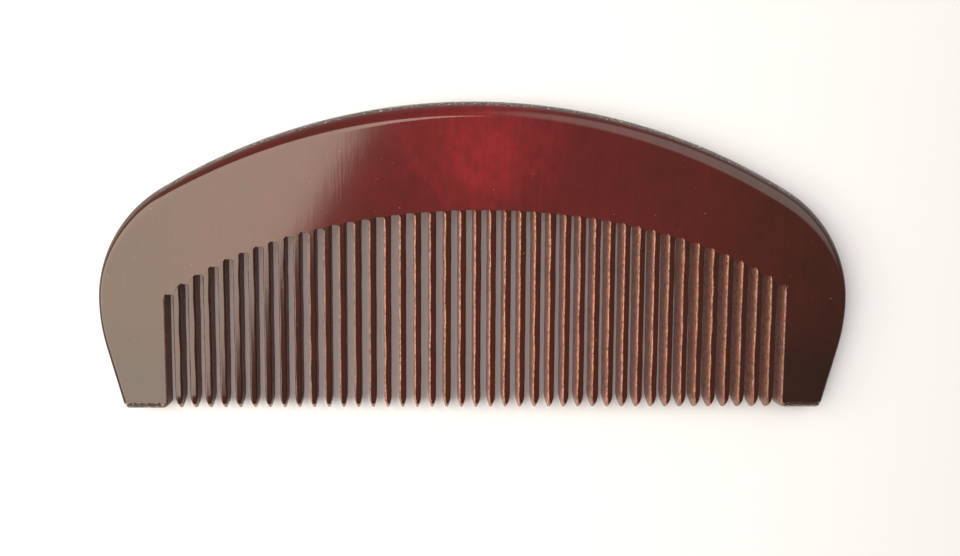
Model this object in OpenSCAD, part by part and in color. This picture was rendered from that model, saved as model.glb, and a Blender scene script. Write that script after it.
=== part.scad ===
// Half-moon hair comb, sawn and shaped from one lacquered hardwood board.
//
// The comb lies flat on its lower face. X runs along the comb, +Y points to the spine of the
// back and -Y to the tips of the teeth, +Z is up through the thickness. The origin is under
// the middle of the comb, on the surface that it lies on.
// The lower face is level and the upper face slopes down a little from the spine to the tips.

/* [Board] */
// Overall length, between the widest points of the two shoulders
comb_l = 150; // [146:1:160]
// Overall height, from the spine down to the tips
comb_h = 61.2; // [58:0.2:66]
// Thickness at the spine
back_t = 6.2; // [5:0.1:8]
// Thickness at the tips
tip_t = 4.8; // [4:0.1:5]

/* [Outline] */
// Radius of the long arc of the back
back_r = 121; // [110:1:140]
// Radius of the two shoulders
shoulder_r = 25.8; // [20:0.2:30]
// Radius where the end turns in below the shoulder
flank_r = 37; // [30:1:45]
// Lean of the straight part of each end
flank_a = 15; // [10:0.5:18]

/* [Rim] */
// Width of the soft shoulder between the flat face and the edge
rim_w = 3.6; // [3:0.1:5]
// How far the face has dropped where the soft shoulder meets the edge
rim_drop = 0.5; // [0.2:0.05:0.8]
// Width of the rounded edge, in plan
edge_w = 1.8; // [1:0.1:2.2]
// Share of those widths left on the two ends, below the shoulders
end_share = 0.5; // [0.3:0.05:1]

/* [Teeth] */
// Number of fine teeth
tooth_count = 41; // [35:1:43]
// Distance from one fine tooth to the next, square to the cuts
pitch = 2.958; // [2.8:0.002:3.1]
// Width of each saw cut
kerf = 1.5; // [1.2:0.05:1.9]
// Lean of the cuts from square: their upper ends are nearer to the right end of the comb
cut_lean = 4; // [0:0.5:6]
// Length over which a fine tooth closes in width to its point
point_l = 2.8; // [2:0.2:4]
// Length over which it closes in thickness
thin_l = 4.4; // [4.2:0.1:7]
// Width left at the very tip
point_w = 0.5; // [0.3:0.05:0.6]
// Thickness left at the very tip
point_t = 1.2; // [0.6:0.1:2]

/* [Arch of the cuts] */
// Depth of the back at the crown of the arch
crown_h = 21.4; // [18:0.1:26]
// Half-width of the ellipse that the closed ends of the cuts follow
arch_a = 75; // [72:1:84]
// Height of that ellipse
arch_b = 38.2; // [34:0.2:42]
// How far the arch sits to the right of the middle
arch_shift = 1.5; // [0:0.1:2]

/* [End teeth] */
// Radius of the inner bottom corner
inner_corner_r = 1.4; // [1.4:0.1:2.4]
// Radius of the outer bottom corner
outer_corner_r = 1.4; // [0.4:0.1:1.6]
// Length of the bevel along the bottom, measured on the face
bevel_l = 1.3; // [0.8:0.1:1.3]
// Depth of that bevel, measured through the thickness
bevel_h = 1.5; // [0.6:0.1:1.8]

/* [Hidden] */

// Segments on the back, on each shoulder, on each flank arc and on a small corner
back_steps = 36;
shoulder_steps = 12;
flank_steps = 4;
corner_steps = 6;
// Slices through the soft shoulder and through the rounded edge
rim_steps = 3;
edge_steps = 4;
// Stations along the point of a tooth
point_steps = 4;
// Thickness of a slice, and the overrun of anything that cuts
slice_t = 0.01;
over = 4;

spine_y = comb_h / 2;
tip_y = -comb_h / 2;
slope = (back_t - tip_t) / comb_h;
slope_a = atan(slope);
half_t = tip_t / 2;

// Centres of the outline's arcs: each arc runs on smoothly from the one before
back_cy = spine_y - back_r;
shoulder_cx = comb_l / 2 - shoulder_r;
shoulder_a = asin(shoulder_cx / (back_r - shoulder_r));
shoulder_cy = back_cy + (back_r - shoulder_r) * cos(shoulder_a);
flank_cx = comb_l / 2 - flank_r;

slot_count = tooth_count + 1;
tooth_w = pitch - kerf;
first_slot_x = -pitch * tooth_count / 2;
arch_cy = spine_y - crown_h - arch_b;

wood = [0.42, 0.11, 0.10];
end_wood = [0.33, 0.10, 0.09];
tooth_wood = [0.36, 0.10, 0.09];

// Name of a fine tooth, counted from the left end
function tooth_name(i) = str("tooth_", i < 10 ? "0" : "", i);

// Points on an arc about a centre, from one angle to another, with the radius easing to another
function spiral(cx, cy, from_r, to_r, from_a, to_a, steps) = [
    for (i = [0:steps])
        let (
            t = i / steps,
            r = from_r + (to_r - from_r) * t * t * (3 - 2 * t),
            a = from_a + (to_a - from_a) * t
        )
        [cx + r * cos(a), cy + r * sin(a)]
];

// The same at one radius
function arc(cx, cy, r, from_a, to_a, steps) = spiral(cx, cy, r, r, from_a, to_a, steps);

// Height of the upper face at a place between tips and spine
function top_z(y) = back_t + (y - spine_y) * slope;

// Middle of a saw cut, and the height of its closed end
function slot_x(i) = first_slot_x + pitch * (i - 1);
function slot_y(i) = arch_cy + arch_b * sqrt(1 - pow((slot_x(i) - arch_shift) / arch_a, 2));

// Right half of the outline from the spine down, open at the bottom. It is drawn in by a set
// amount along the back, easing on the shoulder to a smaller one along the end.
function half_outline(inset) =
    let (
        end_inset = inset * end_share,
        end_r = flank_r - end_inset,
        foot = [flank_cx + end_r * cos(flank_a), shoulder_cy - end_r * sin(flank_a)],
        low_y = tip_y - over
    )
    concat(
        arc(0, back_cy, back_r - inset, 90, 90 - shoulder_a, back_steps / 2),
        spiral(shoulder_cx, shoulder_cy, shoulder_r - inset, shoulder_r - end_inset,
            90 - shoulder_a, 0, shoulder_steps),
        arc(flank_cx, shoulder_cy, end_r, 0, -flank_a, flank_steps),
        [[foot.x - (foot.y - low_y) * tan(flank_a), low_y]]
    );

// Whole outline: the right half and its mirror image
module outline(inset) {
    right = half_outline(inset);
    count = len(right);
    left = [for (i = [count - 1:-1:0]) [-right[i].x, right[i].y]];
    polygon(concat(right, left));
}

// Rim section as [inset, depth below the face]: a soft shoulder, a ridge, then the rounded edge
function rim_section() = concat(
    [for (i = [0:rim_steps]) let (t = i / rim_steps) [rim_w - (rim_w - edge_w) * t, rim_drop * t * t]],
    [for (i = [1:edge_steps]) let (t = i / edge_steps)
        [edge_w * (1 - t) * (1 - t), rim_drop + (half_t - rim_drop) * t]]
);

// Shaped board with no cuts in it, left long below the tips
module board() {
    hull() {
        for (s = rim_section()) {
            translate([0, 0, s[1]]) linear_extrude(slice_t) outline(s[0]);
            translate([0, spine_y, back_t - s[1] - slice_t]) rotate([slope_a, 0, 0])
                translate([0, -spine_y, 0]) linear_extrude(slice_t) outline(s[0]);
        }
    }
}

// A plan cut through the whole board along the lean of the saw
module sawn() {
    translate([0, 0, half_t]) rotate([0, cut_lean, 0]) linear_extrude(comb_l, center = true) children();
}

// Everything above the closed ends of the cuts and the roots of the teeth
module back_plan() {
    reach = comb_l / 2 + over;
    top = spine_y + over;
    ends = [for (i = [1:slot_count]) for (side = [-1, 1]) [slot_x(i) + side * kerf / 2, slot_y(i)]];
    polygon(concat([[-reach, top], [-reach, slot_y(1)]], ends, [[reach, slot_y(slot_count)], [reach, top]]));
}

// Plan of an end tooth on its inner side: side is -1 for the left end and 1 for the right end
module inner_plan(side, inner_x, root_y) {
    reach = comb_l / 2 + over;
    corner = arc(inner_x + inner_corner_r, tip_y + inner_corner_r, inner_corner_r, 180, 270, corner_steps);
    points = concat([[inner_x, root_y]], corner, [[reach, tip_y], [reach, root_y]]);
    polygon([for (p = points) [side * p.x, p.y]]);
}

// Plan of the outer bottom corner of an end tooth, open on every other side
module outer_plan(side) {
    reach = comb_l / 2 + over;
    flank_foot_x = flank_cx + flank_r * cos(flank_a);
    flank_foot_y = shoulder_cy - flank_r * sin(flank_a);
    corner_y = tip_y + outer_corner_r;
    corner_x = flank_foot_x - (flank_foot_y - corner_y) * tan(flank_a) - outer_corner_r / cos(flank_a);
    corner = arc(corner_x, corner_y, outer_corner_r, 270, 360 - flank_a, corner_steps);
    points = concat([[0, spine_y], [0, tip_y]], corner, [[reach, tip_y + over], [reach, spine_y]]);
    polygon([for (p = points) [side * p.x, p.y]]);
}

// Side section of an end tooth, bevelled along the bottom on both faces
module end_tooth_side() {
    rotate([90, 0, 90]) linear_extrude(comb_l + 2 * over, center = true) polygon([
        [spine_y, -over],
        [tip_y + bevel_l, -over],
        [tip_y + bevel_l, 0],
        [tip_y, bevel_h],
        [tip_y, tip_t - bevel_h],
        [tip_y + bevel_l, top_z(tip_y + bevel_l)],
        [tip_y + bevel_l, back_t + over],
        [spine_y, back_t + over]
    ]);
}

// Broad tooth at one end: side is -1 for the left end and 1 for the right end
module end_tooth(side, slot) {
    color(end_wood) intersection() {
        board();
        end_tooth_side();
        sawn() inner_plan(side, abs(slot_x(slot)) + kerf / 2, slot_y(slot));
        linear_extrude(back_t + over) outer_plan(side);
    }
}

module back() {
    color(wood) intersection() {
        board();
        sawn() back_plan();
    }
}

module left_end_tooth() {
    end_tooth(-1, 1);
}

module right_end_tooth() {
    end_tooth(1, slot_count);
}

// Fine tooth: parallel, then a point that closes in width and in thickness
module tooth(i) {
    x = slot_x(i) + pitch / 2;
    start_y = tip_y + point_l;
    thin_y = tip_y + thin_l;
    thin_z = top_z(thin_y);
    // How far along the point each station is
    stations = [for (k = [1:point_steps]) k / point_steps];
    wide = [for (t = stations) [point_w / 2 + (tooth_w - point_w) / 2 * (1 - t * t), start_y - point_l * t]];
    right = concat([[tooth_w / 2, start_y]], wide);
    left = [for (k = [point_steps:-1:0]) [-right[k].x, right[k].y]];
    deep = [for (t = stations) [thin_y - thin_l * t, point_t / 2 + (thin_z - point_t) / 2 * (1 - t * t)]];
    upper = concat([[thin_y, thin_z]], [for (p = deep) [p.x, thin_z / 2 + p.y]]);
    lower = [for (k = [point_steps - 1:-1:0]) [deep[k].x, thin_z / 2 - deep[k].y]];
    color(tooth_wood) intersection() {
        sawn() translate([x, 0]) polygon(concat(
            [[-tooth_w / 2, slot_y(i)], [tooth_w / 2, slot_y(i + 1)]], right, left));
        rotate([90, 0, 90]) linear_extrude(comb_l, center = true) polygon(concat(
            [[spine_y, 0], [spine_y, back_t]], upper, lower, [[thin_y, 0]]));
    }
}

back();
left_end_tooth();
right_end_tooth();
for (i = [1:tooth_count]) tooth(i);
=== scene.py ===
"""Half-moon hair comb: a lacquered back, two broad end teeth and a row of fine sawn teeth.

The comb lies on its lower face, with X along it, +Y to the spine of its back and +Z up, as in the
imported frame. Lengths are millimetres until a mesh, a lamp or the camera is made; MM turns them
into metres there.
"""

import logging
import math
import random
from collections.abc import Callable, Sequence
from dataclasses import dataclass, field
from enum import Enum

import bpy
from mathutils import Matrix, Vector
from mathutils.geometry import delaunay_2d_cdt


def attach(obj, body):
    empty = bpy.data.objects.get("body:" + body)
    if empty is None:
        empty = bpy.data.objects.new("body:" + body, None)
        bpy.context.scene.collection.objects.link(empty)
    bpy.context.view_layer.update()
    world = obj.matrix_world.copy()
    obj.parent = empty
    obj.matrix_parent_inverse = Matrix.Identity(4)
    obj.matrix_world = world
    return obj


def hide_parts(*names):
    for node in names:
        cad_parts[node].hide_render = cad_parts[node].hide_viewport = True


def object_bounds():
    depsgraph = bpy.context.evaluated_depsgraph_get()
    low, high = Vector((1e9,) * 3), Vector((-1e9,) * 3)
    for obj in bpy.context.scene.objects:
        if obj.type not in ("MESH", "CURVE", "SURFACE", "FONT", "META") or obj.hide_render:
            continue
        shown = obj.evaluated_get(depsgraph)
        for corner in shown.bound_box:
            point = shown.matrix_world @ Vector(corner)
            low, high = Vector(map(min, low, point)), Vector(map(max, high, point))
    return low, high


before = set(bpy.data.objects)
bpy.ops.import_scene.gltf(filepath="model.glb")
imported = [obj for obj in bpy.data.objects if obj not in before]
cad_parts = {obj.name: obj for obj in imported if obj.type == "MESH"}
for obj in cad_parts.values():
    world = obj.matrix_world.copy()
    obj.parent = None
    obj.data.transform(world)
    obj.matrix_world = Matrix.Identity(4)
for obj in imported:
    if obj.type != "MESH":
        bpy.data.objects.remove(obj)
CAD_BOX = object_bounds()

MM = 0.001
LOG = logging.getLogger("comb")

# How finely places are told apart, in millimetres: where a search along the outline stops, the
# area below which a face is left out, the distance at which two corners of a flat face are one,
# and how many steps of a millimetre vertices are welded by.
CLOSE = 1e-9
NO_AREA = 1e-12
SAME_CORNER = 1e-7
WELD_STEPS = 1e5

Place = tuple[float, float, float]
Plan = tuple[float, float]


class Finish(Enum):
    """The finishes of the comb, by the place they take in a piece's list of materials.

    DARK is a darker lacquered wood on the faces of the fine teeth; it also stands as painted shade
    on their right-hand rounded edges. SHADED is painted shade: a darker copy of the sawn wood.
    """

    LACQUERED = 0
    SAWN = 1
    END_GRAIN = 2
    DARK = 3
    SHADED = 4


class Side(Enum):
    """An end of the comb: the sign of X there."""

    LEFT = -1
    RIGHT = 1


def linear(colour: str) -> tuple[float, float, float, float]:
    """Turns an sRGB colour into the linear colour that shaders take.

    Args:
        colour: six hex digits after a hash.

    Returns:
        Linear red, green and blue, and an alpha of 1.
    """
    toe, toe_slope, offset, power = 0.04045, 12.92, 0.055, 2.4
    parts = [int(colour[i : i + 2], 16) / 255 for i in (1, 3, 5)]
    light = [c / toe_slope if c <= toe else ((c + offset) / (1 + offset)) ** power for c in parts]
    return (light[0], light[1], light[2], 1.0)


def mix(a: float, b: float, t: float) -> float:
    """The value a share t of the way from a to b."""
    return a + (b - a) * t


def smooth(t: float) -> float:
    """A share eased at both ends, held between 0 and 1."""
    t = min(1.0, max(0.0, t))
    return t * t * (3 - 2 * t)


def unit(v: Sequence[float]) -> Place:
    """The vector v at a length of 1."""
    return tuple(Vector(v).normalized())


# ---------------------------------------------------------------------------------------------
# The board and the saw cuts


@dataclass(frozen=True)
class RimStep:
    """One place on the section through the rim.

    Attributes:
        inset: distance in from the outline.
        drop: distance below the face.
        out: share of the surface's direction that points outwards.
        up: share of it that points away from the middle of the board.
    """

    inset: float
    drop: float
    out: float
    up: float


@dataclass(frozen=True)
class Board:
    """The shaped board that the comb is sawn from.

    Attributes:
        length: overall length.
        height: overall height, spine to tips.
        back_t: thickness at the spine.
        tip_t: thickness at the tips.
        back_r: radius of the long arc of the back.
        shoulder_r: radius of the two shoulders.
        flank_r: radius where an end turns in below its shoulder.
        flank_lean: lean of the straight part of each end.
        rim_w: width of the soft shoulder and the edge together.
        rim_drop: depth below the face where the soft shoulder meets the edge.
        edge_w: width of the rounded edge.
        end_share: share of those widths left on the two ends.
        shoulder_steps: rings on the soft shoulder.
        edge_steps: rings on the rounded edge.
    """

    length: float
    height: float
    back_t: float = 6.2
    tip_t: float = 4.8
    back_r: float = 121.0
    shoulder_r: float = 25.8
    flank_r: float = 37.0
    flank_lean: float = math.radians(15)
    rim_w: float = 3.6
    rim_drop: float = 0.5
    edge_w: float = 1.8
    end_share: float = 0.5
    shoulder_steps: int = 8
    edge_steps: int = 9

    @property
    def spine_y(self) -> float:
        """Y of the spine."""
        return self.height / 2

    @property
    def tip_y(self) -> float:
        """Y of the tips."""
        return -self.height / 2

    @property
    def slope(self) -> float:
        """Rise of the upper face for each millimetre towards the spine."""
        return (self.back_t - self.tip_t) / self.height

    @property
    def upper_normal(self) -> Place:
        """The way that the upper face looks."""
        return unit((0.0, -self.slope, 1.0))

    def top(self, y: float) -> float:
        """Height of the upper face at y."""
        return self.back_t + (y - self.spine_y) * self.slope

    @property
    def shoulder_turn(self) -> float:
        """Angle that the back turns through from its middle to a shoulder."""
        reach = self.length / 2 - self.shoulder_r
        return math.asin(reach / (self.back_r - self.shoulder_r))

    @property
    def shoulder_y(self) -> float:
        """Y of the widest part of the comb."""
        drop = (self.back_r - self.shoulder_r) * math.cos(self.shoulder_turn)
        return self.spine_y - self.back_r + drop

    def outline(self, run: float, inset: float) -> tuple[Plan, Plan]:
        """A place on the outline, and the way out from it.

        Args:
            run: distance along the outline from the middle of the spine, negative to the left.
            inset: how far the place is drawn in.

        Returns:
            The place in plan, and the outward direction in plan.
        """
        side = -1.0 if run < 0 else 1.0
        left = abs(run)
        half = self.length / 2
        arcs = (
            (0.0, self.spine_y - self.back_r, self.back_r, math.pi / 2, self.shoulder_turn),
            (half - self.shoulder_r, self.shoulder_y, self.shoulder_r,
             math.pi / 2 - self.shoulder_turn, math.pi / 2 - self.shoulder_turn),
            (half - self.flank_r, self.shoulder_y, self.flank_r, 0.0, self.flank_lean),
        )
        shares = ((1.0, 1.0), (1.0, self.end_share), (self.end_share, self.end_share))
        angle = 0.0
        drawn = inset
        for (cx, cy, r, start, turn), (before, after) in zip(arcs, shares):
            angle = start - min(left / r, turn)
            drawn = inset * mix(before, after, smooth(left / (r * turn)))
            left -= r * turn
            if left <= 0:
                break
        past = max(left, 0.0)
        inset = drawn
        x = cx + (r - inset) * math.cos(angle) - past * math.sin(self.flank_lean)
        y = cy + (r - inset) * math.sin(angle) - past * math.cos(self.flank_lean)
        return (side * x, y), (side * math.cos(angle), math.sin(angle))

    def run_at(self, y: float, inset: float) -> float:
        """How far along the outline, drawn in by inset, it comes down to y.

        Args:
            y: the height looked for.
            inset: how far the outline is drawn in.

        Returns:
            Distance along the outline from the middle of the spine.
        """
        low, high = 0.0, self.length
        while high - low > CLOSE:
            middle = (low + high) / 2
            if self.outline(middle, inset)[0][1] > y:
                low = middle
            else:
                high = middle
        return low

    def rim(self, half: float) -> list[RimStep]:
        """Section through the rim: a soft shoulder, a narrow ridge, then the rounded edge.

        Args:
            half: half the thickness of the board there.

        Returns:
            Steps from the face out to the middle of the edge.
        """
        shoulder_w = self.rim_w - self.edge_w
        ridge_before, ridge_after, bunch = 0.96, 0.05, 1.3
        steps = []
        for k in range(self.shoulder_steps):
            t = ridge_before * k / (self.shoulder_steps - 1)
            fall = 2 * self.rim_drop * t / shoulder_w
            size = math.hypot(fall, 1)
            inset = self.rim_w - shoulder_w * t
            steps.append(RimStep(inset, self.rim_drop * t * t, fall / size, 1 / size))
        deep = half - self.rim_drop
        for k in range(self.edge_steps):
            t = mix(ridge_after, 1.0, (k / (self.edge_steps - 1)) ** bunch)
            lean = 2 * self.edge_w * (1 - t)
            size = math.hypot(deep, lean)
            inset = self.edge_w * (1 - t) ** 2
            steps.append(RimStep(inset, self.rim_drop + deep * t, deep / size, lean / size))
        return steps

    def spot(self, plan: Plan, out: Plan, step: RimStep, upper: bool) -> tuple[Place, Place]:
        """A place on the rim of one face, and the way that the rim looks there.

        Args:
            plan: the place in plan.
            out: the outward direction in plan.
            step: the place on the rim's section.
            upper: whether it is on the upper half.

        Returns:
            The place and the direction.
        """
        up = self.upper_normal if upper else (0.0, 0.0, -1.0)
        height = self.top(plan[1]) - step.drop if upper else step.drop
        look = [a * step.out + b * step.up for a, b in zip((out[0], out[1], 0.0), up)]
        return (plan[0], plan[1], height), unit(look)


@dataclass(frozen=True)
class Cuts:
    """The saw cuts between the teeth. They lean a little, so X at a cut depends on the height.

    Attributes:
        board: the board that is cut.
        teeth: number of fine teeth.
        pitch: from one tooth to the next, square to the cuts.
        kerf: width of a cut.
        lean: lean of the cuts from square.
        crown_h: depth of the back at the crown of the arch.
        arch_a: half-width of the ellipse that the cuts end on.
        arch_b: height of that ellipse.
        arch_shift: how far the arch sits to the right.
    """

    board: Board
    teeth: int
    pitch: float = 2.958
    kerf: float = 1.5
    lean: float = math.radians(4)
    crown_h: float = 21.4
    arch_a: float = 75.0
    arch_b: float = 38.2
    arch_shift: float = 1.5

    def middle(self, cut: float) -> float:
        """Middle of a cut, counted from 1 at the left."""
        return (cut - 1 - self.teeth / 2) * self.pitch

    def end_y(self, cut: float) -> float:
        """Y of the closed end of a cut."""
        share = (self.middle(cut) - self.arch_shift) / self.arch_a
        return self.board.spine_y - self.crown_h - self.arch_b * (1 - math.sqrt(1 - share * share))

    def along(self, x: float, z: float) -> float:
        """X on the comb, at a height z, of a line that the saw drew at x."""
        return x / math.cos(self.lean) + (z - self.board.tip_t / 2) * math.tan(self.lean)


# ---------------------------------------------------------------------------------------------
# Mesh


class Shell:
    """Gathers the faces of one closed piece, each corner with its own shading direction."""

    def __init__(self, name: str) -> None:
        """Starts an empty shell with the name of its piece."""
        self.name = name
        self.points: list[Place] = []
        self.places: dict[tuple[int, ...], int] = {}
        self.faces: list[list[int]] = []
        self.looks: list[Place] = []
        self.finishes: list[int] = []

    def corner(self, p: Place) -> int:
        """Number of the vertex at p, made if it isn't there yet."""
        key = tuple(round(c * WELD_STEPS) for c in p)
        if key not in self.places:
            self.places[key] = len(self.points)
            self.points.append(p)
        return self.places[key]

    def face(self, corners: Sequence[Place], looks: Sequence[Place], finish: Finish,
             faceted: bool = False) -> None:
        """Adds one face, wound so that it looks the way its corners do.

        Args:
            corners: its places, in either order.
            looks: the shading direction at each.
            finish: its finish.
            faceted: whether it is shaded by its own direction and not by its corners.
        """
        ids = [self.corner(p) for p in corners]
        keep = [k for k in range(len(ids)) if ids[k] != ids[k - 1]]
        if len(keep) < 3 or len({ids[k] for k in keep}) < len(keep):
            return
        places = [Vector(corners[k]) for k in keep]
        own = Vector((0.0, 0.0, 0.0))
        for k, p in enumerate(places):
            own += (places[k - 1] - places[0]).cross(p - places[0])
        if own.length < NO_AREA:
            return
        own.normalize()
        mean = sum((Vector(looks[k]) for k in keep), Vector((0.0, 0.0, 0.0)))
        if own.dot(mean) < 0:
            keep.reverse()
            own.negate()
        self.faces.append([ids[k] for k in keep])
        self.looks += [tuple(own) if faceted else looks[k] for k in keep]
        self.finishes.append(finish.value)

    def grid(self, rows: Sequence[Sequence[tuple[Place, Place]]],
             finish: Callable[[int, int], Finish], closed: bool = False,
             faceted: Callable[[int, int], bool] = lambda row, step: False) -> None:
        """Adds the faces between rows of places.

        Args:
            rows: rows of the same length, each a list of a place and its shading direction.
            finish: finish of the face after a given row and step.
            closed: whether each row runs round to its start.
            faceted: whether the face after a given row and step is shaded flat.
        """
        count = len(rows[0])
        for r in range(len(rows) - 1):
            for k in range(count if closed else count - 1):
                n = (k + 1) % count
                four = (rows[r][k], rows[r][n], rows[r + 1][n], rows[r + 1][k])
                self.face([f[0] for f in four], [f[1] for f in four], finish(r, k), faceted(r, k))

    def level(self, edge: Sequence[Place], look: Place, finish: Finish) -> None:
        """Fills a flat outline with triangles.

        Args:
            edge: the places round it.
            look: the way that it looks.
            finish: its finish.
        """
        drop = max(range(3), key=lambda axis: abs(look[axis]))
        flat = [Vector([c for axis, c in enumerate(p) if axis != drop]) for p in edge]
        made = delaunay_2d_cdt(flat, [], [list(range(len(flat)))], 1, SAME_CORNER)
        source = [edge[origins[0]] if origins else None for origins in made[3]]
        for tri in made[2]:
            if all(source[i] for i in tri):
                self.face([source[i] for i in tri], [look] * 3, finish)

    def make(self, materials: Sequence[bpy.types.Material],
             node: str) -> bpy.types.Object:
        """Makes the piece, dresses it and gives it to the frame.

        Args:
            materials: one material for each finish.
            node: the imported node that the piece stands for.

        Returns:
            The piece.
        """
        mesh = bpy.data.meshes.new(self.name)
        mesh.from_pydata([[c * MM for c in p] for p in self.points], [], self.faces)
        for material in materials:
            mesh.materials.append(material)
        mesh.polygons.foreach_set("material_index", self.finishes)
        mesh.polygons.foreach_set("use_smooth", [True] * len(self.faces))
        mesh.normals_split_custom_set(self.looks)
        piece = bpy.data.objects.new(self.name, mesh)
        bpy.context.collection.objects.link(piece)
        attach(piece, "root")
        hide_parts(node)
        LOG.info("%s: %d vertices, %d faces", self.name, len(self.points), len(self.faces))
        return piece


# ---------------------------------------------------------------------------------------------
# Finishes

# The inputs that set a Map Range node's two ranges, and the sockets of a Mix node that mixes
# colours: its two colours and its result.
ENDS = ("From Min", "From Max", "To Min", "To Max")
FIRST, SECOND, MIXED = 6, 7, 2


def add(tree: bpy.types.NodeTree, kind: str, values: dict | None = None, links: dict | None = None,
        **settings: object) -> bpy.types.Node:
    """Adds a shader node.

    Args:
        tree: the tree that it goes in.
        kind: Blender's name for the node, without the "ShaderNode" that it starts with.
        values: input values by name or number.
        links: output sockets to link, by the name or number of the input.
        settings: the node's own properties.

    Returns:
        The node.
    """
    node = tree.nodes.new(f"ShaderNode{kind}")
    for name, value in settings.items():
        setattr(node, name, value)
    for name, value in (values or {}).items():
        node.inputs[name].default_value = value
    for name, socket in (links or {}).items():
        tree.links.new(socket, node.inputs[name])
    return node


def blank(name: str) -> bpy.types.Material:
    """An empty node material."""
    material = bpy.data.materials.new(name)
    material.use_nodes = True
    material.node_tree.nodes.clear()
    return material


def fill(ramp: bpy.types.Node, stops: Sequence[tuple[float, str]]) -> None:
    """Sets the colours of a ramp.

    Args:
        ramp: the ramp's node.
        stops: position and colour of each stop, in order.
    """
    elements = ramp.color_ramp.elements
    while len(elements) < len(stops):
        elements.new(1.0)
    for element, (position, colour) in zip(elements, stops):
        element.position = position
        element.color = linear(colour)


def stretched(tree: bpy.types.NodeTree, size: Place) -> bpy.types.NodeSocket:
    """Object coordinates counted in cells of a given size.

    Args:
        tree: the material's tree.
        size: size of a cell along X, Y and Z in millimetres.

    Returns:
        The coordinates' socket.
    """
    place = add(tree, "TexCoord").outputs["Object"]
    scale = [1 / (s * MM) for s in size]
    return add(tree, "Mapping", {"Scale": scale}, {"Vector": place}).outputs[0]


@dataclass(frozen=True)
class Pattern:
    """Noise through the wood with cells of a real size, and a value that it is spread over.

    Attributes:
        cell: size of a cell along X, Y and Z.
        detail: how many finer layers lie over it.
        roughness: strength of each finer layer against the one before.
        start: noise where the spread starts.
        stop: noise where it ends.
        least: value at the start.
        most: value at the end.
    """

    cell: Place
    detail: float
    roughness: float = 0.5
    start: float = 0.3
    stop: float = 0.7
    least: float = 0.0
    most: float = 1.0

    def noise(self, tree: bpy.types.NodeTree) -> bpy.types.NodeSocket:
        """Adds the noise to a material.

        Args:
            tree: the material's tree.

        Returns:
            The socket that gives it.
        """
        values = {"Scale": 1.0, "Detail": self.detail, "Roughness": self.roughness}
        return add(tree, "TexNoise", values, {"Vector": stretched(tree, self.cell)}).outputs[0]

    def spread(self, tree: bpy.types.NodeTree, noise: bpy.types.NodeSocket) -> bpy.types.NodeSocket:
        """Spreads the noise between least and most.

        Args:
            tree: the material's tree.
            noise: the noise.

        Returns:
            The socket that gives the value.
        """
        ends = dict(zip(ENDS, (self.start, self.stop, self.least, self.most)))
        return add(tree, "MapRange", ends, {0: noise}).outputs[0]


def coat(tree: bpy.types.NodeTree, colour: bpy.types.NodeSocket, relief: bpy.types.NodeSocket,
         values: dict) -> None:
    """Ends a finish with its shader, whose relief shows in the wood and in the film over it.

    Args:
        tree: the material's tree.
        colour: colour of the wood.
        relief: the shading direction.
        values: the shader's constants.
    """
    shader = add(tree, "BsdfPrincipled", values,
                 {"Base Color": colour, "Normal": relief, "Coat Normal": relief})
    add(tree, "OutputMaterial", {}, {"Surface": shader.outputs[0]})


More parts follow.
